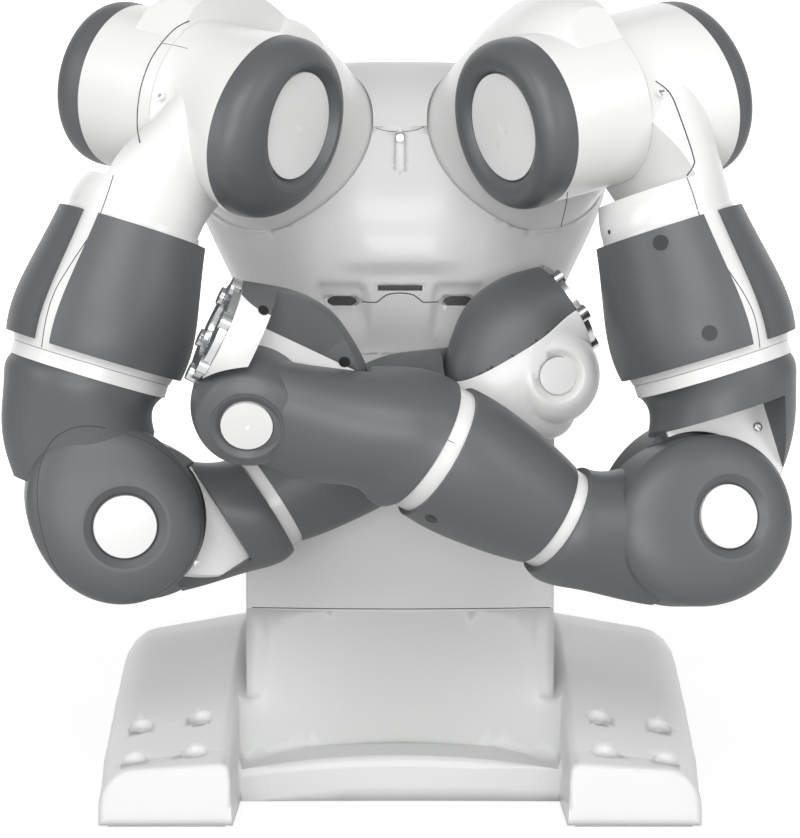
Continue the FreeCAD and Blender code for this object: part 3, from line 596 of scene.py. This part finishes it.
def screw_head(name, shells, spot, radius):
    """Button-head screw where a picture point meets a shell."""
    point, normal, carrier, _ = sight(spot, *shells)
    build = bmesh.new()
    bmesh.ops.create_cone(build, cap_ends=True, segments=24, radius1=radius, radius2=radius,
                          depth=HEAD_HEIGHT)
    rim = [edge for edge in build.edges if all(v.co.z > 0 for v in edge.verts)]
    bmesh.ops.bevel(build, geom=rim, offset=radius * 0.3, segments=4, affect="EDGES", profile=0.5,
                    material=-1)
    top = max(build.faces, key=lambda face: face.calc_center_median().z)
    bmesh.ops.inset_region(build, faces=[top], thickness=radius * 0.22)
    socket = bmesh.ops.extrude_discrete_faces(build, faces=[top])["faces"][0]
    bmesh.ops.translate(build, verts=list(socket.verts), vec=(0, 0, -SOCKET_DEPTH))
    bmesh.ops.transform(build, matrix=upright(point, normal), verts=build.verts)
    return piece_from(build, name, carrier, "bearing_steel")


SCREWS = {
    "left_plate_screw": (LEFT_ARM, (661.4, 92.8), 0.0022),
    "left_panel_screw": (LEFT_ELBOW + ["left_forearm_panel"], (758.3, 426.9), 0.0028),
    "right_panel_screw": (RIGHT_ELBOW + ["right_forearm_panel"], (197.4, 564.0), 0.0026),
}
for name, entry in SCREWS.items():
    screw_head(name, *entry)
print("screws:", ", ".join(SCREWS))

# %% [markdown]
# ## Holes, as painted shade
#
# The covers have access holes, the pads have dimples, and two oval openings lie under the chest's slot.
# From the camera each is a plain dark spot, so none is cut: each is painted shade, a flat dark disc laid a
# third of a millimetre over the shell in place of the shade inside the hole or hollow. Each entry gives the
# shells, the picture point, the radius, the finish and, for an oval, how much wider than high it is.

# %%
# How far each disc of painted hole and dimple shade floats over the shell.
SHADE_DISC_LIFT = 0.00035


def painted_shade_disc(name, shells, spot, radius, slot, stretch=1.0):
    """Painted shade: a dark round or oval disc, in place of the shade inside a hole or dimple, where a
    picture point meets a shell.
    """
    point, normal, carrier, _ = sight(spot, *shells)
    build = bmesh.new()
    bmesh.ops.create_circle(build, cap_ends=True, segments=32, radius=radius)
    bmesh.ops.scale(build, vec=(stretch, 1.0, 1.0), verts=build.verts)
    bmesh.ops.transform(build, matrix=upright(point + normal * SHADE_DISC_LIFT, normal), verts=build.verts)
    return piece_from(build, name, carrier, slot)


LEFT_HAND = ["left_hand_cover", "left_hand_body"]
# Painted shade: each entry below is a dark disc that stands for the shade inside a hole, a pad's dimple or an
# opening.
PAINTED_SHADE_SPOTS = {
    "left_hand_hole": (LEFT_HAND, (263.3, 310.5), 0.0029, "slot_black"),
    "left_hand_hole_low": (LEFT_HAND, (344.5, 361.8), 0.0032, "slot_black"),
    "left_cover_hole": (["left_forearm_cover", "left_forearm_housing"], (430.9, 519.0), 0.0034, "slot_black"),
    "left_band_hole": (["left_forearm_rings"], (527.8, 555.8), 0.0018, "slot_black"),
    "left_shell_hole": (LEFT_ARM, (609.6, 232.0), 0.0014, "panel_dark"),
    "left_pad_dimple": (["left_upper_arm_pads"], (660.7, 242.7), 0.0045, "panel_dark"),
    "left_pad_dimple_low": (["left_upper_arm_pads"], (709.6, 333.1), 0.0045, "panel_dark"),
    "left_chest_opening": (["chest_shell"], (458.0, 301.0), 0.0036, "slot_black", 2.6),
    "right_chest_opening": (["chest_shell"], (342.0, 301.0), 0.0036, "slot_black", 2.6),
}
for name, entry in PAINTED_SHADE_SPOTS.items():
    painted_shade_disc(name, *entry)
print("holes:", ", ".join(PAINTED_SHADE_SPOTS))

# %% [markdown]
# ## Studio
#
# The robot stands on a white floor in front of a white wall. Both glow for the camera and for reflections
# only, so the background is white without throwing more light on the robot, and the floor still takes its
# shadow. A camera behind the wall sees only the wall. Two tall soft boxes stand beside the camera, a wide
# one above it and a low one under it. The room is white to the camera but lights the robot only as a grey
# one would, which keeps the lower faces from going black.


# %%
def soft_box(name, at, aim, width, height, power):
    """Rectangular area light at one point, turned towards another."""
    data = bpy.data.lights.new(name, "AREA")
    data.shape = "RECTANGLE"
    data.size = width
    data.size_y = height
    data.energy = power
    lamp = bpy.data.objects.new(name, data)
    scene.collection.objects.link(lamp)
    lamp.location = at
    lamp.rotation_mode = "QUATERNION"
    lamp.rotation_quaternion = (Vector(aim) - Vector(at)).to_track_quat("-Z", "Y")
    return lamp


def studio_white(name, colour, glow):
    """Matt white that glows for the camera and for reflections, and keeps its shadows."""
    material = bpy.data.materials.new(name)
    material.use_nodes = True
    tree = material.node_tree
    shader = tree.nodes["Principled BSDF"]
    shader.inputs["Base Color"].default_value = linear(colour)
    shader.inputs["Roughness"].default_value = 0.9
    shader.inputs["Emission Color"].default_value = (1.0, 1.0, 1.0, 1.0)
    ray = node(tree, "ShaderNodeLightPath")
    seen = node(tree, "ShaderNodeMath", operation="MAXIMUM")
    tree.links.new(ray.outputs["Is Camera Ray"], seen.inputs[0])
    tree.links.new(ray.outputs["Is Glossy Ray"], seen.inputs[1])
    level = node(tree, "ShaderNodeMath", operation="MULTIPLY")
    tree.links.new(seen.outputs[0], level.inputs[0])
    level.inputs[1].default_value = glow
    tree.links.new(level.outputs[0], shader.inputs["Emission Strength"])
    return material


def studio_panel(name, low_corner, high_corner, material):
    """Flat studio surface between two corners, in the plane where they agree."""
    build = bmesh.new()
    bmesh.ops.create_grid(build, x_segments=1, y_segments=1, size=0.5)
    low_corner, high_corner = Vector(low_corner), Vector(high_corner)
    span = high_corner - low_corner
    if span.z > 0:
        bmesh.ops.rotate(build, matrix=Matrix.Rotation(math.radians(90), 3, "Y"), verts=build.verts)
    bmesh.ops.scale(build, vec=[max(s, 1e-6) for s in span], verts=build.verts)
    bmesh.ops.translate(build, vec=(low_corner + high_corner) / 2, verts=build.verts)
    mesh = bpy.data.meshes.new(name)
    build.to_mesh(mesh)
    build.free()
    panel = bpy.data.objects.new(name, mesh)
    scene.collection.objects.link(panel)
    mesh.materials.append(material)
    return panel


WALL_X, FLOOR_FRONT, ROOM_HALF, WALL_HEIGHT = -1.6, 3.0, 2.4, 2.6
studio_panel("studio floor", (WALL_X, -ROOM_HALF, 0.0), (FLOOR_FRONT, ROOM_HALF, 0.0),
             studio_white("white floor", "#969696", 0.8))
studio_panel("studio wall", (WALL_X, -ROOM_HALF, 0.0), (WALL_X, ROOM_HALF, WALL_HEIGHT),
             studio_white("white wall", "#f0f0f0", 0.9))

# %% [markdown]
# Each lamp's entry gives its place, width, height and power in watts. All of them look at the robot's middle.

# %%
ROBOT_MIDDLE = (0.0, 0.0, 0.28)
LAMPS = {
    "left soft box": ((1.1, 1.4, 0.7), 0.7, 1.2, 7.2),
    "right soft box": ((1.1, -1.4, 0.7), 0.7, 1.2, 7.2),
    "high soft box": ((1.7, 0.0, 1.2), 1.2, 0.7, 14.0),
    "low soft box": ((1.9, 0.0, 0.2), 1.4, 0.5, 14.0),
}
for name, (place, width, height, power) in LAMPS.items():
    soft_box(name, place, ROBOT_MIDDLE, width, height, power)

ROOM_LEVEL = 0.38
world = bpy.data.worlds.new("studio room")
world.use_nodes = True
backdrop = world.node_tree.nodes["Background"]
backdrop.inputs["Color"].default_value = (1.0, 1.0, 1.0, 1.0)
seen_as = node(world.node_tree, "ShaderNodeLightPath")
level = node(world.node_tree, "ShaderNodeMath", operation="MAXIMUM")
world.node_tree.links.new(seen_as.outputs["Is Camera Ray"], level.inputs[0])
level.inputs[1].default_value = ROOM_LEVEL
world.node_tree.links.new(level.outputs[0], backdrop.inputs["Strength"])
scene.world = world
scene.view_settings.view_transform = "Standard"
print("lamps:", ", ".join(LAMPS))
